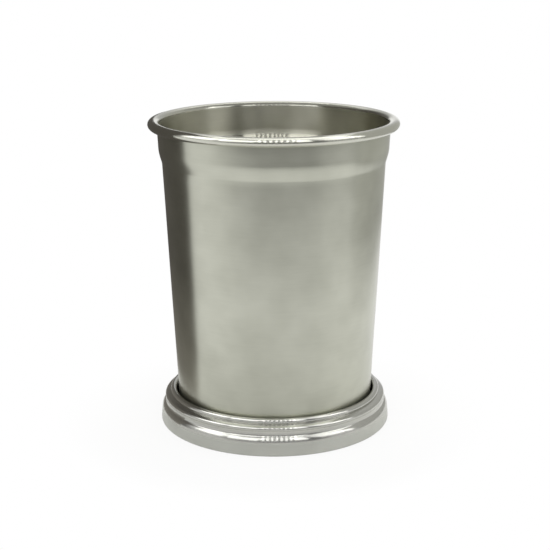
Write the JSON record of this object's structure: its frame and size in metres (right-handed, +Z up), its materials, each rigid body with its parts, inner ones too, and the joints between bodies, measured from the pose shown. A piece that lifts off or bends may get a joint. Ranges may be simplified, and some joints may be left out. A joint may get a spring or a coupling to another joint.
{
  "type": "julep cup",
  "caption": "Tapered steel beaker with a rolled rim and a low shoulder, brazed into a moulded sheet foot ring.",
  "frame": {"origin": "centre of the foot ring's standing flat, on the table", "axes": "+Z up along the cup's axis of revolution, through the mouth"},
  "size_m": [0.0888, 0.0888, 0.111],
  "materials": {
    "satin_steel": "satin, finely brushed round the axis",
    "polished_steel": "buffed mouldings over a satin skirt",
    "braze": "dull silver braze"
  },
  "bodies": {
    "root": {"cup_body": "satin_steel", "foot_ring": "polished_steel", "braze_ring": "braze"}
  },
  "joints": []
}
